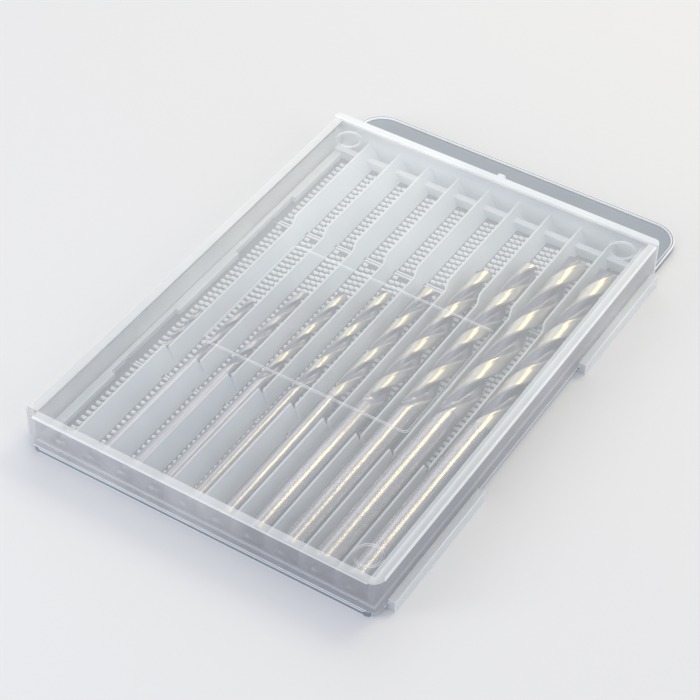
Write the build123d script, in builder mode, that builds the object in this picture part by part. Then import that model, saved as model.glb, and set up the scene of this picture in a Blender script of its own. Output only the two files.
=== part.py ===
from build123d import *
import os
from math import cos, pi, radians, sin, tan

# A flat pocket case for ten twist drill bits: a clear moulded cover open at the back and underneath,
# and a clear tray that hooks on rails under it and pulls out backwards by its flap.
# Row frame: X across, Y from the front wall to the flap, Z up, origin under the middle of the case.

# --- overall sizes, mm -----------------------------------------------------------------------------
case_height = 7.0
flap_length = 10.6
slide_gap = 0.25            # tray to cover, on each side and behind
stand_gap = 0.2             # tray plate to the cover's walls and rail lips

# --- cover -----------------------------------------------------------------------------------------
panel_thickness = 0.9
wall_thickness = 1.2
corner_radius = 1.8         # front corners
ear_reach = 0.4             # the end walls stand out past the left wall by this
ear_depth = 2.2
rail_reach = 1.2            # the rails stand out past the long walls by this
rail_lip = 0.3
rail_hook = 0.8             # how far each lip reaches in from the long wall's outer face
rail_height = 2.0
rail_length = 24.5
rail_centres = (15.0, 70.35)  # from the front wall
label_size = (36.0, 25.7)
label_corner = 1.0
label_centre = (0.3, 39.5)  # from the middle and from the front wall
groove_width = 0.3
groove_depth = 0.15
mark_radius = 2.15
mark_spacing = (50.7, 75.2)  # between the middles of the round marks
back_right_mark = (25.8, 79.5)  # from the middle and from the front wall

# --- tray ------------------------------------------------------------------------------------------
plate_thickness = 0.85
plate_corner = 2.0
floor_step = 0.45           # the trough floor stands this far over the plate
floor_gap = 0.3             # trough floor to the cover's walls
back_wall = 1.2
back_corner = 1.0
end_wall = 1.2
end_wall_height = 1.6       # over the trough floor
end_wall_setback = 1.8      # between the end wall and the back wall
flap_corner = 4.8
rim_width = 0.65
rim_height = 0.25
nub_width = 1.6
nub_reach = 0.7
nub_height = 1.4
nub_offset = 0.8            # to the right of the middle

# --- troughs ---------------------------------------------------------------------------------------
first_trough = 3.45         # left floor edge of the first trough, from the case's left side
trough_pitch = 5.545
divider_height = 3.05       # over the trough floor
ridge_width = 0.3
divider_draft = 0.12
grip_width = 0.85           # the troughs are this much wider along their middle
grip_start = 25.0           # from the front wall
grip_end = 58.6
grip_ramp = 2.4
kerb_height = 1.1           # margin left of the troughs, over the trough floor
kerb_gap = 0.5              # left margin to the first trough's floor edge
bay_depth = 0.7
bay_length = 16.5
bay_centres = (25.7, 58.4)
tooth_pitch = 1.2
tooth_height = 0.25
tooth_base = 0.05           # the rib strip's valleys stand this far over the floor
tooth_inset = 0.45
last_margin = 2.445         # last trough's right edge to the case's right side
crossbar_width = 0.8
crossbar_places = (21.5, 60.8)

# --- drill bits ------------------------------------------------------------------------------------
# diameter, overall length, fluted length, width of its trough
bit_sizes = (
    (1.0, 34.0, 12.0, 3.0),
    (1.5, 40.0, 18.0, 3.25),
    (1.8, 46.0, 22.0, 3.4),
    (2.0, 49.0, 24.0, 3.5),
    (2.2, 53.0, 27.0, 3.6),
    (2.5, 57.0, 30.0, 3.7),
    (3.2, 65.0, 36.0, 3.85),
    (3.5, 70.0, 39.0, 3.95),
    (4.0, 75.0, 43.0, 4.2),
    (4.0, 75.0, 43.0, 4.2),
)
bit_end_gap = 0.6           # shank end to the cover's front wall
tip_room = 3.8              # longest tip to the tray's end wall
bit_side_gap = 0.1          # bit to the trough's right wall
bit_rest_gap = 0.06         # bit to the tops of the floor ribs
flute_lead = 5.9            # pitch of the helix in diameters
sections_per_turn = 8
least_sections = 4
land_angle = 42.0           # half the angle that one land takes
cheek_lag = 4.0             # the flute's cheek, past the middle between land and flute
web_ratio = 0.32            # core to outer diameter
flute_fade = 1.3            # run-out of the flutes, in diameters
point_angle = 118.0
chisel_ratio = 0.14
shank_chamfer = 0.2

# --- derived places --------------------------------------------------------------------------------
case_width = first_trough + (len(bit_sizes) - 1) * trough_pitch + bit_sizes[-1][3] + last_margin
longest_bit = max(size[1] for size in bit_sizes)
case_length = (
    wall_thickness + bit_end_gap + longest_bit + tip_room + end_wall + end_wall_setback + back_wall
)
half_width = case_width / 2
front = -(case_length + flap_length) / 2
wall_back = front + case_length
wall_front = wall_back - back_wall
panel_back = wall_front - slide_gap
flap_back = wall_back + flap_length
cover_base = plate_thickness + stand_gap
panel_under = case_height - panel_thickness
inner_half = half_width - wall_thickness
plate_half = half_width - slide_gap
flange_under = rail_lip + stand_gap
lip_inner = half_width - rail_hook
keel_half = lip_inner - slide_gap
floor_top = plate_thickness + floor_step
floor_half = inner_half - floor_gap
floor_front = front + wall_thickness + floor_gap
end_front = wall_front - end_wall_setback - end_wall
tooth_top = floor_top + tooth_base + tooth_height
side_wall_top = panel_under - stand_gap
ridge_top = floor_top + divider_height
left_edges = [first_trough + i * trough_pitch - half_width for i in range(len(bit_sizes))]
right_edges = [left + size[3] for left, size in zip(left_edges, bit_sizes)]


def across(y):
    """A plane square to the slide at y, whose sketch axes are the row's X and Z; extrudes forwards."""
    return Plane.XZ.offset(-y)


# --- cover -----------------------------------------------------------------------------------------
with BuildPart() as cover:
    # one block with rounded front corners and an ear at the left one, hollowed from below and behind
    with BuildSketch(Plane.XY.offset(cover_base)) as outline:
        with Locations((0, front)):
            Rectangle(case_width, panel_back - front, align=(Align.CENTER, Align.MIN))
        with Locations((-half_width - ear_reach, front)):
            Rectangle(half_width, ear_depth, align=(Align.MIN, Align.MIN))
        fillet(outline.vertices().group_by(Axis.Y)[0], radius=corner_radius)
    extrude(amount=case_height - cover_base)
    with BuildSketch(Plane.XY.offset(cover_base)):
        with Locations((0, front + wall_thickness)):
            Rectangle(2 * inner_half, case_length, align=(Align.CENTER, Align.MIN))
    extrude(amount=panel_under - cover_base, mode=Mode.SUBTRACT)
    # four rails: each hooks round the edge of the tray's plate
    for centre in rail_centres:
        for side in (-1, 1):
            with BuildSketch(across(front + centre + rail_length / 2)):
                with BuildLine():
                    Polyline(
                        (side * lip_inner, 0),
                        (side * (half_width + rail_reach), 0),
                        (side * (half_width + rail_reach), rail_height),
                        (side * lip_inner, rail_height),
                        (side * lip_inner, cover_base),
                        (side * half_width, cover_base),
                        (side * half_width, rail_lip),
                        (side * lip_inner, rail_lip),
                        close=True,
                    )
                make_face()
            extrude(amount=rail_length)
    # engraved outline of the label field and the round marks near three of the panel's corners
    with BuildSketch(Plane.XY.offset(case_height)):
        with Locations((label_centre[0], front + label_centre[1])):
            RectangleRounded(label_size[0], label_size[1], label_corner)
            RectangleRounded(
                label_size[0] - 2 * groove_width,
                label_size[1] - 2 * groove_width,
                label_corner - groove_width,
                mode=Mode.SUBTRACT,
            )
    extrude(amount=-groove_depth, mode=Mode.SUBTRACT)
    with BuildSketch(Plane.XY.offset(case_height)):
        with Locations((back_right_mark[0], front + back_right_mark[1])):
            with Locations((0, 0), (-mark_spacing[0], 0), (0, -mark_spacing[1])):
                Circle(mark_radius)
                Circle(mark_radius - groove_width, mode=Mode.SUBTRACT)
    extrude(amount=-groove_depth, mode=Mode.SUBTRACT)
cover.part.label = "cover"


# --- tray ------------------------------------------------------------------------------------------
def divider_profile(y, left, right):
    """Cross-section of the wall between two troughs: steep on its left, sloping on its right."""
    with BuildSketch(across(y)) as profile:
        with BuildLine():
            Polyline(
                (left, plate_thickness),
                (left, floor_top),
                (left + divider_draft, ridge_top),
                (left + divider_draft + ridge_width, ridge_top),
                (right, floor_top),
                (right, plate_thickness),
                close=True,
            )
        make_face()
    return profile.sketch


with BuildPart() as tray:
    # plate under the whole case, with the flap behind
    with BuildSketch():
        Rectangle(2 * plate_half, flap_back - front)
    extrude(amount=plate_thickness)
    fillet(tray.edges().filter_by(Axis.Z).group_by(Axis.Y)[0], radius=plate_corner)
    fillet(tray.edges().filter_by(Axis.Z).group_by(Axis.Y)[-1], radius=flap_corner)
    # rebates under the long edges, where the rail lips run
    with BuildSketch():
        with Locations((0, (front + wall_front) / 2)):
            Rectangle(case_width, wall_front - front)
            Rectangle(2 * keel_half, wall_front - front, mode=Mode.SUBTRACT)
    extrude(amount=flange_under, mode=Mode.SUBTRACT)
    # raised rim round the flap
    with BuildSketch(Plane.XY.offset(plate_thickness)) as rim_sketch:
        with Locations((0, wall_front)):
            Rectangle(2 * plate_half, flap_back - wall_front, align=(Align.CENTER, Align.MIN))
        fillet(rim_sketch.vertices().group_by(Axis.Y)[-1], radius=flap_corner)
        with BuildSketch(mode=Mode.SUBTRACT) as hollow_sketch:
            with Locations((0, wall_front)):
                Rectangle(
                    2 * (plate_half - rim_width),
                    flap_back - wall_front - rim_width,
                    align=(Align.CENTER, Align.MIN),
                )
            fillet(hollow_sketch.vertices().group_by(Axis.Y)[-1], radius=flap_corner - rim_width)
    extrude(amount=rim_height)
    # raised trough floor
    with BuildSketch(Plane.XY.offset(plate_thickness)):
        with Locations((0, floor_front)):
            Rectangle(2 * floor_half, wall_front - floor_front, align=(Align.CENTER, Align.MIN))
    extrude(amount=floor_step)
    # back wall, flush with the cover's panel, and the catch nub on it
    with BuildSketch() as wall_sketch:
        with Locations((-half_width - ear_reach, wall_front)):
            Rectangle(case_width + ear_reach, back_wall, align=(Align.MIN, Align.MIN))
        fillet(wall_sketch.vertices().group_by(Axis.Y)[-1], radius=back_corner)
    extrude(amount=case_height)
    with BuildSketch(across(wall_back + nub_reach)):
        with Locations((nub_offset, case_height - nub_height / 2)):
            RectangleRounded(nub_width, nub_height, nub_width / 3)
    extrude(amount=nub_reach + back_wall / 2)
    # dividers between the troughs
    grip_stops = (front + grip_start, front + grip_end, front + grip_end + grip_ramp)
    for left, right in zip(right_edges[:-1], left_edges[1:]):
        wide = divider_profile(grip_stops[1], left + grip_width, right)
        narrow = divider_profile(grip_stops[2], left, right)
        extrude(divider_profile(grip_stops[0], left, right), amount=grip_stops[0] - floor_front)
        extrude(wide, amount=grip_stops[1] - grip_stops[0])
        loft([wide, narrow], ruled=True)
        extrude(divider_profile(wall_front, left, right), amount=wall_front - grip_stops[2])
    # low margin beside the first trough, with two bays
    with BuildSketch(Plane.XY.offset(plate_thickness)):
        with Locations((-floor_half, floor_front)):
            Rectangle(
                left_edges[0] - kerb_gap + floor_half, wall_front - floor_front,
                align=(Align.MIN, Align.MIN),
            )
        with Locations(*[(left_edges[0] - kerb_gap, front + y) for y in bay_centres]):
            Rectangle(2 * bay_depth, bay_length, mode=Mode.SUBTRACT)
    extrude(amount=floor_step + kerb_height)
    # tall side wall beside the last trough
    with BuildSketch(Plane.XY.offset(plate_thickness)):
        with Locations((right_edges[-1], floor_front)):
            Rectangle(
                floor_half - right_edges[-1], wall_front - floor_front,
                align=(Align.MIN, Align.MIN),
            )
    extrude(amount=side_wall_top - plate_thickness)
    # end wall across the back ends of the troughs, and the two low bars across their floors
    with BuildSketch(Plane.XY.offset(plate_thickness)):
        with Locations((0, end_front)):
            Rectangle(2 * floor_half, end_wall, align=(Align.CENTER, Align.MIN))
    extrude(amount=floor_step + end_wall_height)
    with BuildSketch(Plane.XY.offset(plate_thickness)):
        with Locations(*[(0, front + y) for y in crossbar_places]):
            Rectangle(2 * floor_half, crossbar_width)
    extrude(amount=tooth_top - plate_thickness)
    # strip of cross ribs along each trough floor
    tooth_count = int((end_front - floor_front - tooth_pitch) / tooth_pitch)
    tooth_start = end_front - tooth_pitch / 2 - tooth_count * tooth_pitch
    zigzag = [(tooth_start, floor_top + tooth_base)]
    for k in range(tooth_count):
        valley = tooth_start + k * tooth_pitch
        zigzag.append((valley + tooth_pitch / 2, tooth_top))
        zigzag.append((valley + tooth_pitch, floor_top + tooth_base))
    for left, right in zip(left_edges, right_edges):
        with BuildSketch(Plane.YZ.offset(left + tooth_inset)):
            with BuildLine():
                Polyline(
                    *zigzag, (zigzag[-1][0], plate_thickness), (zigzag[0][0], plate_thickness),
                    close=True,
                )
            make_face()
        extrude(amount=right - left - 2 * tooth_inset)
tray.part.label = "tray"


# --- drill bits ------------------------------------------------------------------------------------
def fluted_ring(x, y, z, radius, turn, depth, scale=1.0):
    """Corner points of the drill's cross-section at y: two lands, and two flutes of the given depth."""
    core = radius * (1 - depth * (1 - web_ratio))
    cheek = (core + radius) / 2
    half_ring = (
        (-land_angle, radius), (0, radius), (land_angle, radius),
        ((land_angle + 90) / 2 + cheek_lag, cheek), (90, core),
    )
    ring = []
    for base in (0, 180):
        for angle, reach in half_ring:
            around = radians(base + angle) + turn
            ring.append(Vector(x + scale * reach * cos(around), y, z - scale * reach * sin(around)))
    return ring


def flat_face(*points):
    """A flat face with these corners."""
    return Face(Wire.make_polygon(points))


def drill_bit(x, diameter, length, flute_length):
    """Straight-shank twist drill lying along Y with its shank end at the front."""
    radius = diameter / 2
    z = tooth_top + bit_rest_gap + radius
    start = front + wall_thickness + bit_end_gap
    point_length = radius * (1 - chisel_ratio) / tan(radians(point_angle / 2))
    flute_start = start + length - flute_length
    point_start = start + length - point_length
    turn = 2 * pi * (point_start - flute_start) / (flute_lead * diameter)
    steps = max(least_sections, round(turn / (2 * pi) * sections_per_turn))
    rings = []
    for k in range(steps + 1):
        y = flute_start + (point_start - flute_start) * k / steps
        depth = min(1.0, (y - flute_start) / (flute_fade * diameter))
        rings.append(fluted_ring(x, y, z, radius, turn * k / steps, depth))
    rings.append(fluted_ring(x, start + length, z, radius, turn, 1.0, chisel_ratio))
    faces = [flat_face(*rings[0]), flat_face(*rings[-1])]
    for near, far in zip(rings[:-1], rings[1:]):
        for j in range(len(near)):
            n = (j + 1) % len(near)
            faces += [flat_face(near[j], near[n], far[n]), flat_face(near[j], far[n], far[j])]
    with BuildPart() as bit:
        with BuildSketch(across(flute_start)):
            with Locations((x, z)):
                Circle(radius)
        extrude(amount=length - flute_length)
        chamfer(bit.edges().group_by(Axis.Y)[0], length=min(shank_chamfer, radius / 3))
        add(Solid(Shell(faces)))
    return bit.part


bits = []
for i, (diameter, length, flute_length, _) in enumerate(bit_sizes):
    bit = drill_bit(right_edges[i] - bit_side_gap - diameter / 2, diameter, length, flute_length)
    bit.label = f"drill_bit_{i + 1}"
    bits.append(bit)

os.makedirs("parts", exist_ok=True)
export_step(cover.part, "parts/cover.step")
export_step(tray.part, "parts/tray.step")
for bit in bits:
    export_step(bit, f"parts/{bit.label}.step")
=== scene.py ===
# %% [markdown]
# # A clear pocket case for ten drill bits
#
# The real object is a flat moulded case. A clear cover hooks over a clear tray with ten ribbed troughs, and a
# graded set of twist drills lies in them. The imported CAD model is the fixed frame: every piece below sits where
# its node is, in metres, with X across the troughs, Y from the front wall to the flap and Z up.

# %% Load the frame
import bmesh
import bpy
import math
from mathutils import Matrix, Vector


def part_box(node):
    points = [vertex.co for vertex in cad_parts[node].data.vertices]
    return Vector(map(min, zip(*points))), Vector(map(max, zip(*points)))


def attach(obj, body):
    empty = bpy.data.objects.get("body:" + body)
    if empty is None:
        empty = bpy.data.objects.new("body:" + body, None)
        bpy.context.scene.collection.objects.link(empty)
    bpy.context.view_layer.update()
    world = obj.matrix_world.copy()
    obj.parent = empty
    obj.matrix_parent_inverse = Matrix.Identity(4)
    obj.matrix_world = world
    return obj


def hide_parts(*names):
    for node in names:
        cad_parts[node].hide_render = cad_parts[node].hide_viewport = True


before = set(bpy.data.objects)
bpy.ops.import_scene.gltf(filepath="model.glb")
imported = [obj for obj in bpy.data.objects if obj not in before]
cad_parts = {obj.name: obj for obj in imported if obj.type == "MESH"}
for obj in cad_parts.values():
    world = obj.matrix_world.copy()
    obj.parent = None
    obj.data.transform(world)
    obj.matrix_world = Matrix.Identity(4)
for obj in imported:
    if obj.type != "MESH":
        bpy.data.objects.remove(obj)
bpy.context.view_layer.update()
MM = 0.001

# %% [markdown]
# ## Colours and nodes
#
# Colours are easiest to compare with a picture as sRGB hex values, but shaders want linear light, so one
# function turns them. A second small function adds a node, sets its values and links its inputs, which keeps
# each material below short enough to read.


# %% Colour and node helpers
def srgb(hex_colour):
    """Linear RGBA of an sRGB hex colour."""
    channels = [int(hex_colour[i:i + 2], 16) / 255 for i in (1, 3, 5)]
    return [c / 12.92 if c <= 0.04045 else ((c + 0.055) / 1.055) ** 2.4 for c in channels] + [1.0]


def add_node(tree, kind, inputs=None, **settings):
    """A new node: settings are its properties, inputs are values or sockets to link, by name or number."""
    node = tree.nodes.new(kind)
    for name, value in settings.items():
        setattr(node, name, value)
    for key, value in (inputs or {}).items():
        if isinstance(value, bpy.types.NodeSocket):
            tree.links.new(value, node.inputs[key])
        else:
            node.inputs[key].default_value = value
    return node


def new_material(name):
    """A new material, with its tree, its shader and its object coordinates."""
    material = bpy.data.materials.new(name)
    material.use_nodes = True
    tree = material.node_tree
    tree.nodes.clear()
    shader = add_node(tree, "ShaderNodeBsdfPrincipled")
    add_node(tree, "ShaderNodeOutputMaterial", {"Surface": shader.outputs[0]})
    place = add_node(tree, "ShaderNodeTexCoord").outputs["Object"]
    return material, tree, shader, place


print("mid grey #808080 is", round(srgb("#808080")[0], 3), "in linear light")

# %% [markdown]
# ## Clear moulded plastic
#
# Cover and tray are injection-moulded polypropylene: clear when thin, milky when thick. Light also gathers in
# its rounded edges, which is why such a case seems drawn in bright lines; the edges, grooves and ribs get that
# as a faint painted glow. So there is one recipe for the plastic, and each part of the case gets its own tint
# and opacity from it: the thin panel, its border and its grooves, the walls, the thick dividers, the trough
# floors with their painted shade, the flap, and the edges. Light is painted in as well: from the front right to
# the back left the colour turns lighter and the opacity higher, with soft clouds in the colour. The opacity
# also rises where a surface turns away, as a Layer Weight gives it.

# %% Plastic materials
PAINTED_LIGHT_SLOPE = (-11.0, 9.5, 0.0)     # painted light gained per metre along X, Y and Z
CLOUD_SIZE, FLOW_SIZE = 14 * MM, 3 * MM
FLOW_STRENGTH, FLOW_HEIGHT = 0.05, 0.05 * MM
CLEAREST, MILKIEST = 0.85, 1.3          # shares of the stated opacity at either end of the slope
EDGE_BLEND = 0.35
PLASTIC_IOR = 1.49


def milky_plastic(name, tint, shade, opacity, edge_opacity, roughness, painted_glow=0.0):
    """Moulded polypropylene: painted light turns shade to tint from the front right to the back left, with soft
    clouds in it.
    """
    material, tree, shader, place = new_material(name)
    along = add_node(tree, "ShaderNodeVectorMath", {0: place, 1: PAINTED_LIGHT_SLOPE}, operation="DOT_PRODUCT")
    clouds = add_node(tree, "ShaderNodeTexNoise", {"Vector": place, "Scale": 1 / CLOUD_SIZE, "Detail": 2.0})
    # painted light: the slope lightens the colour and raises the opacity towards the back left
    clouds_and_painted_light = add_node(tree, "ShaderNodeMath", {
        0: along.outputs["Value"], 1: clouds.outputs["Fac"]}, operation="ADD", use_clamp=True)
    colour = add_node(tree, "ShaderNodeMix", {
        "Factor": clouds_and_painted_light.outputs[0], 6: srgb(shade), 7: srgb(tint)}, data_type="RGBA")
    facing = add_node(tree, "ShaderNodeLayerWeight", {"Blend": EDGE_BLEND})
    least = add_node(tree, "ShaderNodeMapRange", {
        "Value": clouds_and_painted_light.outputs[0], "To Min": CLEAREST * opacity, "To Max": min(1, MILKIEST * opacity)})
    alpha = add_node(tree, "ShaderNodeMapRange", {
        "Value": facing.outputs["Facing"], "To Min": least.outputs[0], "To Max": edge_opacity})
    flow = add_node(tree, "ShaderNodeTexNoise", {"Vector": place, "Scale": 1 / FLOW_SIZE, "Detail": 1.0})
    bump = add_node(tree, "ShaderNodeBump", {
        "Height": flow.outputs["Fac"], "Strength": FLOW_STRENGTH, "Distance": FLOW_HEIGHT})
    tree.links.new(colour.outputs[2], shader.inputs["Base Color"])
    tree.links.new(alpha.outputs[0], shader.inputs["Alpha"])
    tree.links.new(bump.outputs[0], shader.inputs["Normal"])
    # painted light: the tint is emitted as a faint glow, though the part is no lamp
    shader.inputs["Emission Color"].default_value = srgb(tint)
    shader.inputs["Emission Strength"].default_value = painted_glow
    shader.inputs["Roughness"].default_value = roughness
    shader.inputs["IOR"].default_value = PLASTIC_IOR
    return material


# each line: name, tint, shade, opacity seen face-on and edge-on, roughness and, for some, a faint painted glow
clear_panel = milky_plastic("clear_polypropylene_panel", "#FBFDFE", "#EDF2F6", 0.17, 0.32, 0.30)
clear_wall = milky_plastic("clear_polypropylene_wall", "#FFFFFE", "#BDBEC4", 0.48, 0.66, 0.22)
# painted light: a faint glow along the groove walls
groove_with_painted_light = milky_plastic("clear_polypropylene_groove_painted_light", "#FBFDFE", "#F8FAFC", 0.74, 0.88, 0.25, 0.20)
# painted light: a faint glow on the rounded edges, and on the kerb tops that share their plastic
edge_with_painted_light = milky_plastic("clear_polypropylene_rounded_edge_painted_light", "#FAFCFD", "#EFF3F6", 0.82, 0.92, 0.25, 0.10)
milky_body = milky_plastic("milky_polypropylene_dividers", "#F6FCFE", "#D1DAE5", 0.90, 1.0, 0.30)
# painted shade: the trough floors are dark grey, much darker than the rest of the tray
floor_with_painted_shade = milky_plastic("milky_polypropylene_trough_floor_painted_shade", "#8C949E", "#666E7A", 0.97, 1.0, 0.35)
thin_flap = milky_plastic("milky_polypropylene_flap", "#A8B0BA", "#9AA2AE", 0.60, 0.80, 0.25)
milky_wall = milky_plastic("milky_polypropylene_end_walls", "#EFF4F6", "#E2E8ED", 0.88, 0.95, 0.26)
milky_border = milky_plastic("milky_polypropylene_border", "#FAFCFC", "#F0F4F7", 0.56, 0.76, 0.28)
# painted light: the ribs are near white with a faint glow
rib_with_painted_light = milky_plastic("milky_polypropylene_rib_painted_light", "#FAFCFE", "#F2F6F9", 0.95, 1.0, 0.20, 0.14)
print("plastics:", sum("polypropylene" in m.name for m in bpy.data.materials))

# %% [markdown]
# ## Moulded edges
#
# The CAD solids have knife-sharp edges. A moulded edge is rounded by one to three tenths of a millimetre, and
# that round catches the light. Each solid is copied, its loose triangles are joined, its flat faces are made
# whole, and the outward edges are bevelled in a material of their own.

# %% Copying and rounding a solid
WELD = 0.001 * MM
FLAT_ANGLE, ROUND_ANGLE, CREASE_ANGLE = math.radians(1), math.radians(35), math.radians(40)
SHORTEST_ROUNDED = 2.5    # an edge shorter than this many widths of its round stays sharp
EDGE_SLOT = 1             # the rounded edges' place in each piece's list of materials


def whole_faced(mesh):
    """A bmesh of a mesh, its triangles joined and its flat faces whole."""
    bm = bmesh.new()
    bm.from_mesh(mesh)
    bmesh.ops.remove_doubles(bm, verts=bm.verts, dist=WELD)
    bmesh.ops.dissolve_limit(bm, angle_limit=FLAT_ANGLE, verts=bm.verts, edges=bm.edges)
    return bm


def round_edges(bm, width, test, segments=2):
    """Bevel the outward edges whose middle passes a test, all in mm; returns how many."""
    edges = []
    for e in bm.edges:
        if len(e.link_faces) == 2 and e.calc_length() > SHORTEST_ROUNDED * width * MM:
            if e.calc_face_angle_signed() > ROUND_ANGLE and test((e.verts[0].co + e.verts[1].co) / 2 / MM):
                edges.append(e)
    bmesh.ops.bevel(
        bm, geom=edges, offset=width * MM, offset_type="OFFSET", segments=segments, profile=0.5, affect="EDGES",
        material=EDGE_SLOT, clamp_overlap=False)
    return len(edges)


def scene_object(name, bm, materials=()):
    """An object in the scene with this bmesh as its mesh."""
    mesh = bpy.data.meshes.new(name)
    bm.to_mesh(mesh)
    bm.free()
    for material in materials:
        mesh.materials.append(material)
    made = bpy.data.objects.new(name, mesh)
    bpy.context.scene.collection.objects.link(made)
    return made


def moulded_piece(bm, name, node, materials):
    """Finish a rounded copy: it takes its node's place and rides where the node rides.

    Shading is smooth along a round only, so that the large flat faces beside it stay flat.
    """
    for face in bm.faces:
        face.smooth = True
    for e in bm.edges:
        sides = {f.material_index == EDGE_SLOT for f in e.link_faces}
        e.smooth = len(sides) == 1 and e.calc_face_angle(math.pi) < CREASE_ANGLE
    piece = scene_object(name, bm, materials)
    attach(piece, node)
    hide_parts(node)
    return piece


print("edges that turn by more than", round(math.degrees(ROUND_ANGLE)), "degrees are rounded")

# %% [markdown]
# ## The cover
#
# The panel is cut along three lines first, so that its border can be milkier than its middle. The rounds then
# go on in three widths: wide on the top outline, less on the bottoms of the walls, and least on the thin rails.
# Last, each face gets its plastic from its place and its direction. Sizes from here on are in millimetres.

# %% The cover's sizes and edges
FRONT, HALF_WIDTH, PANEL_TOP, WALL_BACK = -47.7, 30.0, 7.0, 37.1
PANEL_BACK = WALL_BACK - 1.45
BORDER_LEFT, BORDER_RIGHT, BORDER_FRONT = -28.5, 28.6, FRONT + 1.4
RIM, PANEL_END = 0.9, PANEL_BACK - 0.3    # the top outline lies within RIM of the outer faces, or past the end
TOP_EDGES = 6.9                           # the edges of panel and back wall are above this
WALL_FACE = HALF_WIDTH + 0.05             # just outside the long walls
RAIL_TOP, RAIL_INNER = 2.1, HALF_WIDTH - 0.6
GROOVE_DEPTH, UNDER_PANEL = 0.16, 6.0
UPWARD = 0.9                              # faces whose normal has more Z than this look up
PANEL_SLOT, WALL_SLOT, BORDER_SLOT, RAIL_SLOT, GROOVE_SLOT = 0, 2, 3, 4, 5


def top_outline(p):
    """Whether a point is on the cover's top outline."""
    return p.z > TOP_EDGES and (abs(p.x) > HALF_WIDTH - RIM or p.y < FRONT + RIM or p.y > PANEL_END)


def wall_bottom(p):
    """Whether a point is low on the cover and not outside its long walls."""
    return p.z < RAIL_TOP and abs(p.x) < WALL_FACE


def rail_side(p):
    """Whether a point is on a rail, outside the long walls."""
    return p.z < RAIL_TOP and abs(p.x) > WALL_FACE


# %% The cover
bm = whole_faced(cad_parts["cover"].data)
for place, normal in (((BORDER_LEFT, 0, 0), (1, 0, 0)), ((BORDER_RIGHT, 0, 0), (1, 0, 0)),
                      ((0, BORDER_FRONT, 0), (0, 1, 0))):
    top = [f for f in bm.faces if f.calc_center_median().z > (PANEL_TOP - 0.05) * MM and f.normal.z > UPWARD]
    bmesh.ops.bisect_plane(
        bm, geom=top + list({e for f in top for e in f.edges}) + list({v for f in top for v in f.verts}),
        dist=1e-7, plane_co=Vector(place) * MM, plane_no=normal)
rounded = round_edges(bm, 0.3, top_outline, 3)
rounded += round_edges(bm, 0.24, wall_bottom)
rounded += round_edges(bm, 0.1, rail_side)
for face in bm.faces:
    middle = face.calc_center_median() / MM
    if face.material_index == EDGE_SLOT:
        continue
    if middle.z > PANEL_TOP - 0.01:
        border = middle.x < BORDER_LEFT or middle.x > BORDER_RIGHT or middle.y < BORDER_FRONT
        face.material_index = BORDER_SLOT if border else PANEL_SLOT
    elif middle.z > PANEL_TOP - GROOVE_DEPTH:
        face.material_index = PANEL_SLOT if face.normal.z > 0.5 else GROOVE_SLOT
    elif abs(face.normal.z) < 0.5 or middle.z < UNDER_PANEL:
        on_rail = middle.z < RAIL_TOP and abs(middle.x) > RAIL_INNER
        face.material_index = RAIL_SLOT if on_rail else WALL_SLOT
cover = moulded_piece(
    bm, "moulded_cover", "cover", [clear_panel, edge_with_painted_light, clear_wall, milky_border, milky_wall, groove_with_painted_light])
print("cover:", rounded, "edges rounded,", len(cover.data.polygons), "faces")

# %% [markdown]
# ## The tray
#
# The solid carries one strip of cross ribs along each trough floor. The real floors have columns of separate
# small ribs, so the strip is cut out of the copy with a Boolean, and finer ribs are set in its place.

# %% Cutting out the rib strips
TROUGH_WIDTHS = (3.0, 3.25, 3.4, 3.5, 3.6, 3.7, 3.85, 3.95, 4.2, 4.2)
FIRST_TROUGH, TROUGH_PITCH = 3.45 - HALF_WIDTH, 5.545
FLOOR_TOP, FLOOR_FRONT, END_WALL_FRONT = 1.3, FRONT + 1.5, WALL_BACK - 4.2
CROSSBARS = (FRONT + 21.5, FRONT + 60.8)
BAR_REACH, STRIP_INSET, STRIP_TOP, GAP = 0.42, 0.42, 1.8, 0.02
trough_lefts = [FIRST_TROUGH + i * TROUGH_PITCH for i in range(len(TROUGH_WIDTHS))]


def block(bm, corner, opposite):
    """Add a box between two corners in mm; returns its vertices."""
    corner, opposite = Vector(corner) * MM, Vector(opposite) * MM
    place, size = Matrix.Translation((corner + opposite) / 2), Matrix.Diagonal((*(opposite - corner), 1))
    return bmesh.ops.create_cube(bm, size=1.0, matrix=place @ size)["verts"]


stretches = [
    (FLOOR_FRONT + GAP, CROSSBARS[0] - BAR_REACH),
    (CROSSBARS[0] + BAR_REACH, CROSSBARS[1] - BAR_REACH),
    (CROSSBARS[1] + BAR_REACH, END_WALL_FRONT - GAP),
]
cutter_bm = bmesh.new()
for left, width in zip(trough_lefts, TROUGH_WIDTHS):
    for front_end, back_end in stretches:
        block(cutter_bm, (left + STRIP_INSET, front_end, FLOOR_TOP - 0.01),
              (left + width - STRIP_INSET, back_end, STRIP_TOP))
cutter = scene_object("rib_cutter", cutter_bm)
plain = scene_object("plain_tray", whole_faced(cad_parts["tray"].data))
cut = plain.modifiers.new("cut", "BOOLEAN")
cut.operation, cut.solver, cut.object = "DIFFERENCE", "EXACT", cutter
ribless = bpy.data.meshes.new_from_object(plain.evaluated_get(bpy.context.evaluated_depsgraph_get()))
for scrap in (plain, cutter):
    bpy.data.meshes.remove(scrap.data)
print("tray without rib strips:", len(ribless.polygons), "faces")

# %% [markdown]
# The tray's rounds go on in four widths, and its faces are then sorted in the same way as the cover's: the
# plate's front and the flap, the trough floors, the low kerb of the left margin, and the tall walls at the back.

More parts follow.
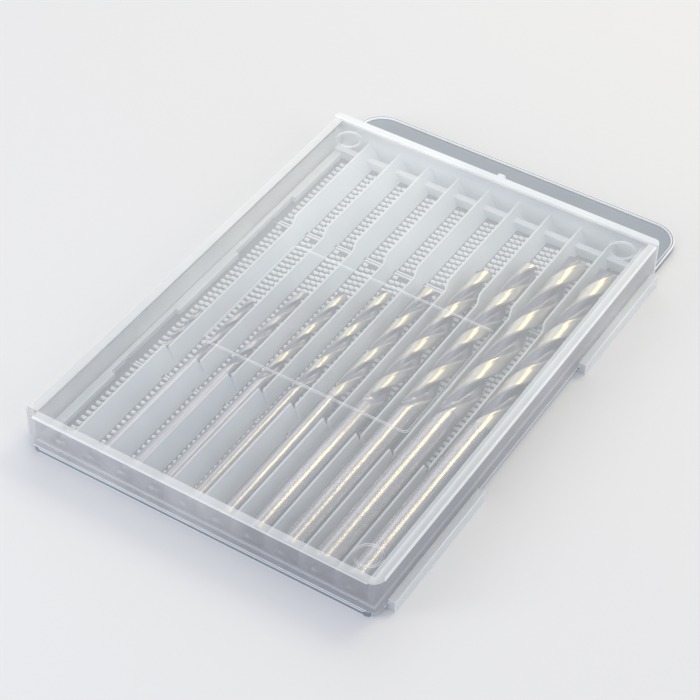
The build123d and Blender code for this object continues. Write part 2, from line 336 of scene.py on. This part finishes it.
# %% Rounding and sorting the tray's faces
PLATE_FRONT, PLATE_EDGE, PLATE_BOTTOM = FRONT + 1, (0.7, 1.15), 0.05
DIVIDER_EDGES, TALL_WALLS = (2.0, 6.0), 5.5
PLATE_TOP, FLOORS_BELOW, KERB_TOP = 1.2, 1.7, (2.8, 3.0)
FLOOR_SLOT, FLAP_SLOT, TALL_WALL_SLOT = 2, 3, 4


def plate_edge(p):
    """Whether a point is on the upper edge of the plate's front or of the flap."""
    return PLATE_EDGE[0] < p.z < PLATE_EDGE[1] and (p.y < PLATE_FRONT or p.y > WALL_BACK)


bm = whole_faced(ribless)
rounded = round_edges(bm, 0.32, lambda p: p.z > TOP_EDGES, 3)
rounded += round_edges(bm, 0.22, plate_edge)
rounded += round_edges(bm, 0.16, lambda p: p.z < PLATE_BOTTOM and p.y < PLATE_FRONT)
rounded += round_edges(bm, 0.09, lambda p: DIVIDER_EDGES[0] < p.z < DIVIDER_EDGES[1])
for face in bm.faces:
    middle = face.calc_center_median() / MM
    if face.material_index == EDGE_SLOT:
        continue
    if middle.z < PLATE_TOP and (middle.y > WALL_BACK or middle.y < FRONT + 0.3):
        face.material_index = FLAP_SLOT
    # the trough floors take their painted shade
    elif PLATE_TOP < middle.z < FLOORS_BELOW and middle.y < END_WALL_FRONT and face.normal.z > UPWARD:
        face.material_index = FLOOR_SLOT
    # painted light: the kerb tops take the glowing plastic of the rounds
    elif KERB_TOP[0] < middle.z < KERB_TOP[1] and face.normal.z > UPWARD:
        face.material_index = EDGE_SLOT
    elif middle.z > TALL_WALLS:
        face.material_index = TALL_WALL_SLOT
tray = moulded_piece(bm, "moulded_tray", "tray", [milky_body, edge_with_painted_light, floor_with_painted_shade, thin_flap, milky_wall])
print("tray:", rounded, "edges rounded,", len(tray.data.polygons), "faces")

# %% [markdown]
# ## Floor ribs
#
# The ribs stand in rows across each trough, in columns that are staggered a little. One rib is a box with a
# narrowed top; the others are duplicates. A bar crosses the troughs in two places, and two low ridges run along
# each bar. All of it stays just below the bits.

# %% Floor ribs
ROW_PITCH, COLUMN_PITCH, STAGGER = 1.2, 0.95, 0.19
RIB = (0.78, 0.6, 0.27)           # across, along, high
RIB_TAPER = 0.14                  # the top is narrower by this at each end
SUNK = 0.03                       # ribs and ridges start this far inside the floor
SIDE_MARGIN, FIRST_COLUMN, FIRST_ROW, LAST_ROW = 0.35, 0.3, 0.45, END_WALL_FRONT - 0.9
BAR_CLEARANCE = 0.8               # no rib's middle is closer than this to a bar's
RIDGES, RIDGE_LENGTH, RIDGE_HEIGHT = (-0.4, 0.12), 0.28, 0.33     # where they start from a bar's middle
rows = int((LAST_ROW - FLOOR_FRONT) / ROW_PITCH)
rib_bm = bmesh.new()
for left, width in zip(trough_lefts, TROUGH_WIDTHS):
    for column in range(int((width - SIDE_MARGIN) / COLUMN_PITCH)):
        x = left + FIRST_COLUMN + column * COLUMN_PITCH
        y = FLOOR_FRONT + FIRST_ROW + column * STAGGER
        corners = block(rib_bm, (x, y, FLOOR_TOP - SUNK), (x + RIB[0], y + RIB[1], FLOOR_TOP + RIB[2]))
        for v in corners:
            if v.co.z > FLOOR_TOP * MM:
                v.co.y += (RIB_TAPER if v.co.y < (y + RIB[1] / 2) * MM else -RIB_TAPER) * MM
        shape = corners + list({e for v in corners for e in v.link_edges}) + list(
            {f for v in corners for f in v.link_faces})
        for row in range(1, rows):
            along = row * ROW_PITCH
            if any(abs(y + along + RIB[1] / 2 - bar) < BAR_CLEARANCE for bar in CROSSBARS):
                continue
            copy = bmesh.ops.duplicate(rib_bm, geom=shape)["geom"]
            bmesh.ops.translate(
                rib_bm, verts=[g for g in copy if isinstance(g, bmesh.types.BMVert)], vec=(0, along * MM, 0))
    for bar in CROSSBARS:
        for start in RIDGES:
            block(rib_bm, (left + 0.12, bar + start, FLOOR_TOP - SUNK),
                  (left + width - 0.1, bar + start + RIDGE_LENGTH, FLOOR_TOP + RIDGE_HEIGHT))
ribs = scene_object("floor_ribs", rib_bm, [rib_with_painted_light])
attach(ribs, "tray")
print("ribs and ridges:", len(ribs.data.polygons) // 6)

# %% [markdown]
# ## Tinted high-speed steel
#
# The bits are ground from high-speed steel and tempered to a pale straw colour. Faint rings from the grinding
# run round the shanks and blur the highlights along them. The flutes are darker than the lands. The thinnest
# bits get a cooler, rougher copy of the steel: painted shade, so that they catch no warm highlight.

# %% Steel materials
PATCH_SIZE = 6 * MM
RING_SCALE = 1 / (0.35 * MM) / 20       # a ring every 2.2 mm, broken up by finer noise
RING_HEIGHT = 0.02 * MM


def high_speed_steel(name, tint, shade, roughness, ring_strength):
    """Ground steel: two oxide colours in patches, and faint rings across the bit."""
    material, tree, shader, place = new_material(name)
    patches = add_node(tree, "ShaderNodeTexNoise", {"Vector": place, "Scale": 1 / PATCH_SIZE, "Detail": 3.0})
    colour = add_node(tree, "ShaderNodeMix", {
        "Factor": patches.outputs["Fac"], 6: srgb(tint), 7: srgb(shade)}, data_type="RGBA")
    rings = add_node(tree, "ShaderNodeTexWave", {
        "Vector": place, "Scale": RING_SCALE, "Distortion": 1.5, "Detail": 2.0},
        wave_type="BANDS", bands_direction="Y")
    bump = add_node(tree, "ShaderNodeBump", {
        "Height": rings.outputs["Fac"], "Strength": ring_strength, "Distance": RING_HEIGHT})
    tree.links.new(colour.outputs[2], shader.inputs["Base Color"])
    tree.links.new(bump.outputs[0], shader.inputs["Normal"])
    shader.inputs["Metallic"].default_value = 1.0
    shader.inputs["Roughness"].default_value = roughness
    return material


# each line: name, tint, shade, roughness and strength of the rings
ground_steel = high_speed_steel("straw_tempered_shank_steel", "#BAB8B9", "#A9A7AB", 0.25, 0.10)
land_steel = high_speed_steel("straw_tempered_land_steel", "#D6D1C2", "#C0BCB4", 0.31, 0.05)
flute_steel = high_speed_steel("straw_tempered_flute_steel", "#9A9CAA", "#868997", 0.28, 0.05)
# painted shade: a cooler copy of the steel, with no straw in it, for the thinnest bits
shade_painted_steel = high_speed_steel("steel_copy_painted_shade", "#BCBCC7", "#A8A8B4", 0.38, 0.10)
print("steels:", [m.name for m in (ground_steel, land_steel, flute_steel, shade_painted_steel)])

# %% [markdown]
# ## Twist drills
#
# A twist drill is a round bar with two helical flutes and a 118 degree point. One cross-section is drawn as a
# ring whose radius dips twice, for the two flutes, and a spin that also travels along the axis winds it into
# the helix. The point is then ground: every vertex that sticks out of a 118 degree cone is pulled back to it.

# %% Drill sizes
BIT_SIZES = (  # diameter, fluted length, helix pitch in diameters, and the flutes' start in half turns
    (1.0, 12.0, 7.3, 0.0), (1.5, 18.0, 7.3, 0.5), (1.8, 22.0, 7.3, 0.2), (2.0, 24.0, 7.3, 0.01),
    (2.2, 27.0, 7.5, 0.05), (2.5, 30.0, 7.1, 0.44), (3.2, 36.0, 5.75, 0.77), (3.5, 39.0, 5.85, 0.98),
    (4.0, 43.0, 6.25, 0.08), (4.0, 43.0, 5.85, 0.33),
)
PALE_SHANK, PALE_LAND = 2.1, 1.9                   # bits thinner than this have them in the shade-painted steel
RING_SIDES, TURN_STEPS = 48, 40
FADE, FADE_CURVE = 1.3, 0.7                        # flutes run out over this many diameters
CHAMFER = 0.2
POINT_HALF_ANGLE = math.radians(59)
POINT_RINGS, POINT_SHRINK = 6, 0.72
CREST_ANGLE = math.radians(38)
MARGIN_END, LAND_END, HEEL_END = 12, 78, 92        # degrees round one half of the section
LAND_REACH, HEEL_REACH, FLUTE_DIP = 0.965, 0.715, 0.40
FLUTE_SHARE = 0.86                                 # the rest of the hollow rises to the next margin
FLUTE_FACES = 0.86                                 # faces closer to the axis than this share are flute


# %% Drill cross-section
def drill_reach(angle, depth):
    """Radius of the cross-section at an angle, as a share of the drill's radius; depth 1 is a full flute."""
    a = math.degrees(angle) % 180
    if a < MARGIN_END:
        reach = 1.0
    elif a < LAND_END:
        reach = LAND_REACH
    elif a < HEEL_END:
        reach = LAND_REACH - (LAND_REACH - HEEL_REACH) * (a - LAND_END) / (HEEL_END - LAND_END)
    else:
        s = (a - HEEL_END) / (180 - HEEL_END)
        if s < FLUTE_SHARE:
            reach = HEEL_REACH - FLUTE_DIP * math.sin(math.pi * s / FLUTE_SHARE) ** 0.8
        else:
            reach = HEEL_REACH + (1 - HEEL_REACH) * (s - FLUTE_SHARE) / (1 - FLUTE_SHARE)
    return 1 - depth * (1 - reach)


def next_ring(bm, edges):
    """Extrude a ring of edges in place; returns the new ring's vertices and edges."""
    grown = bmesh.ops.extrude_edge_only(bm, edges=edges)["geom"]
    ring = [g for g in grown if isinstance(g, bmesh.types.BMVert)]
    return ring, [g for g in grown if isinstance(g, bmesh.types.BMEdge) and all(v in ring for v in g.verts)]


print("web between the flutes:", round(drill_reach(math.radians(130), 1), 2), "diameters thick")


# %% A drill
def twist_drill(name, diameter, flute_length, pitch, start_turn):
    """A drill in its node's place, its shank end at the front."""
    lo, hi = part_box(name)
    axis = Vector(((lo.x + hi.x) / 2, 0, (lo.z + hi.z) / 2))
    radius, start, tip = diameter / 2 * MM, lo.y, hi.y
    flute_start = tip - flute_length * MM
    lead = pitch * diameter * MM
    steps = round(TURN_STEPS * (tip - flute_start) / lead)
    bm = bmesh.new()
    bmesh.ops.create_circle(bm, cap_ends=False, segments=RING_SIDES, radius=radius)
    bmesh.ops.rotate(bm, verts=bm.verts, cent=(0, 0, 0), matrix=Matrix.Rotation(math.radians(90), 3, "X"))
    bmesh.ops.translate(bm, verts=bm.verts, vec=(axis.x, flute_start, axis.z))
    bmesh.ops.spin(
        bm, geom=bm.edges[:], cent=axis, axis=(0, 1, 0), dvec=(0, (tip - flute_start) / steps, 0),
        angle=2 * math.pi * (tip - flute_start) / lead, steps=steps, use_duplicate=False)
    for v in bm.verts:
        travelled = v.co.y - flute_start
        turn = 2 * math.pi * travelled / lead - math.pi * start_turn
        around = math.atan2(v.co.x - axis.x, v.co.z - axis.z) - turn
        depth = min(1.0, max(0.0, travelled / (FADE * diameter * MM))) ** FADE_CURVE
        out = Vector((v.co.x - axis.x, 0, v.co.z - axis.z)).normalized()
        v.co = Vector((axis.x, v.co.y, axis.z)) + out * (radius * drill_reach(around, depth))
    # the shank: the first ring runs back to the shank end, with a small chamfer and a flat end
    first_ring = [v for v in bm.verts if abs(v.co.y - flute_start) < 1e-7]
    ring_edges = [e for e in bm.edges if all(v in first_ring for v in e.verts)]
    for y, scale in ((start + CHAMFER * MM, 1.0), (start, 1 - min(CHAMFER * MM, radius / 3) / radius)):
        ring, ring_edges = next_ring(bm, ring_edges)
        for v in ring:
            v.co = Vector((axis.x + (v.co.x - axis.x) * scale, y, axis.z + (v.co.z - axis.z) * scale))
    bmesh.ops.edgeloop_fill(bm, edges=ring_edges)
    # the point: rings of faces that close in on the axis, then the cone
    ring_edges = [e for e in bm.edges if all(abs(v.co.y - tip) < 1e-7 for v in e.verts)]
    for _ in range(POINT_RINGS):
        ring, ring_edges = next_ring(bm, ring_edges)
        for v in ring:
            v.co.x = axis.x + (v.co.x - axis.x) * POINT_SHRINK
            v.co.z = axis.z + (v.co.z - axis.z) * POINT_SHRINK
    bmesh.ops.edgeloop_fill(bm, edges=ring_edges)
    for v in bm.verts:
        out = math.hypot(v.co.x - axis.x, v.co.z - axis.z)
        v.co.y = min(v.co.y, tip - out / math.tan(POINT_HALF_ANGLE))
    bmesh.ops.recalc_face_normals(bm, faces=bm.faces)
    for face in bm.faces:
        middle = face.calc_center_median()
        if middle.y > flute_start + 0.5 * diameter * MM:
            out = math.hypot(middle.x - axis.x, middle.z - axis.z)
            face.material_index = 1 if out < FLUTE_FACES * radius and abs(face.normal.y) < 0.75 else 2
    shank = ground_steel if diameter > PALE_SHANK else shade_painted_steel
    land = land_steel if diameter > PALE_LAND else shade_painted_steel
    drill = scene_object(name + "_ground", bm, [shank, flute_steel, land])
    drill.data.shade_smooth()
    drill.data.set_sharp_from_angle(angle=CREST_ANGLE)
    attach(drill, name)
    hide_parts(name)
    return drill


# %% Make the ten drills
for i, sizes in enumerate(BIT_SIZES, 1):
    drill = twist_drill(f"drill_bit_{i}", *sizes)
    print(drill.name, len(drill.data.polygons), "faces")

# %% [markdown]
# ## Floor, light and camera
#
# The case lies on a plain pale floor under an even pale sky and four soft lamps: a small warm one behind it
# draws the line of light along each bit, a large one at the back left shines in the panel, one from the right
# brightens the sloping dividers, and a low one at the front left fills the front wall. The camera is where the
# photograph has it, to the right of the front wall and well above it.

# %% Floor
FLOOR_HALF, FLOOR_DROP = 3.0, 0.02 * MM
stage_material, _, shader, _ = new_material("pale_paper_backdrop")
shader.inputs["Base Color"].default_value = srgb("#E9EAEC")
shader.inputs["Roughness"].default_value = 0.9
bm = bmesh.new()
bmesh.ops.create_grid(bm, x_segments=1, y_segments=1, size=FLOOR_HALF)
bmesh.ops.translate(bm, verts=bm.verts, vec=(0, 0, -FLOOR_DROP))
floor = scene_object("studio_floor", bm, [stage_material])
print("floor:", round(2 * max(v.co.x for v in floor.data.vertices), 1), "m wide")

# %% Lamps and world
SOFTBOXES = (  # name, place in metres, width in metres, power in watts, and colour
    ("back_softbox", (0.09, 0.36, 0.40), 0.20, 0.72, "#FFEDB8"),
    ("back_left_softbox", (-0.30, 0.48, 0.37), 0.42, 0.7, "#FFFFFF"),
    ("right_softbox", (0.45, -0.10, 0.28), 0.35, 0.4, "#FFFFFF"),
    ("front_left_softbox", (-0.17, -0.21, 0.10), 0.10, 0.16, "#FFFFFF"),
)
SKY_COLOUR, SKY_STRENGTH = "#EEF1FA", 0.74
for name, place, width, power, colour in SOFTBOXES:
    lamp = bpy.data.lights.new(name, "AREA")
    lamp.shape, lamp.size, lamp.energy = "SQUARE", width, power
    lamp.color = srgb(colour)[:3]
    holder = bpy.data.objects.new(name, lamp)
    holder.location = place
    holder.rotation_euler = (-Vector(place)).to_track_quat("-Z", "Y").to_euler()
    bpy.context.scene.collection.objects.link(holder)
world = bpy.data.worlds.new("soft_studio")
world.use_nodes = True
world.node_tree.nodes.clear()
sky = add_node(world.node_tree, "ShaderNodeBackground", {"Color": srgb(SKY_COLOUR), "Strength": SKY_STRENGTH})
add_node(world.node_tree, "ShaderNodeOutputWorld", {"Surface": sky.outputs[0]})
bpy.context.scene.world = world
bpy.context.scene.view_settings.view_transform = "Standard"
print("lamps:", len(SOFTBOXES))

# %% Camera
CAMERA_PLACE = (122.3 * MM, -208.0 * MM, 227.5 * MM)
AZIMUTH, ELEVATION, ROLL = math.radians(31.34), math.radians(43.69), math.radians(1.396)
LENS, SENSOR = 110.46, 36
back = Vector((math.sin(AZIMUTH) * math.cos(ELEVATION), -math.cos(AZIMUTH) * math.cos(ELEVATION),
               math.sin(ELEVATION)))
right = Vector((math.cos(AZIMUTH), math.sin(AZIMUTH), 0))
up = back.cross(right)
side = right * math.cos(ROLL) + up * math.sin(ROLL)
top = up * math.cos(ROLL) - right * math.sin(ROLL)
camera_data = bpy.data.cameras.new("photo_camera")
camera_data.lens, camera_data.sensor_width = LENS, SENSOR
camera_data.clip_start, camera_data.clip_end = 0.01, 20
camera = bpy.data.objects.new("photo_camera", camera_data)
camera.matrix_world = Matrix.Translation(CAMERA_PLACE) @ Matrix((side, top, back)).transposed().to_4x4()
bpy.context.scene.collection.objects.link(camera)
bpy.context.scene.camera = camera
print("camera:", round(Vector(CAMERA_PLACE).length, 3), "m from the case,", LENS, "mm lens")
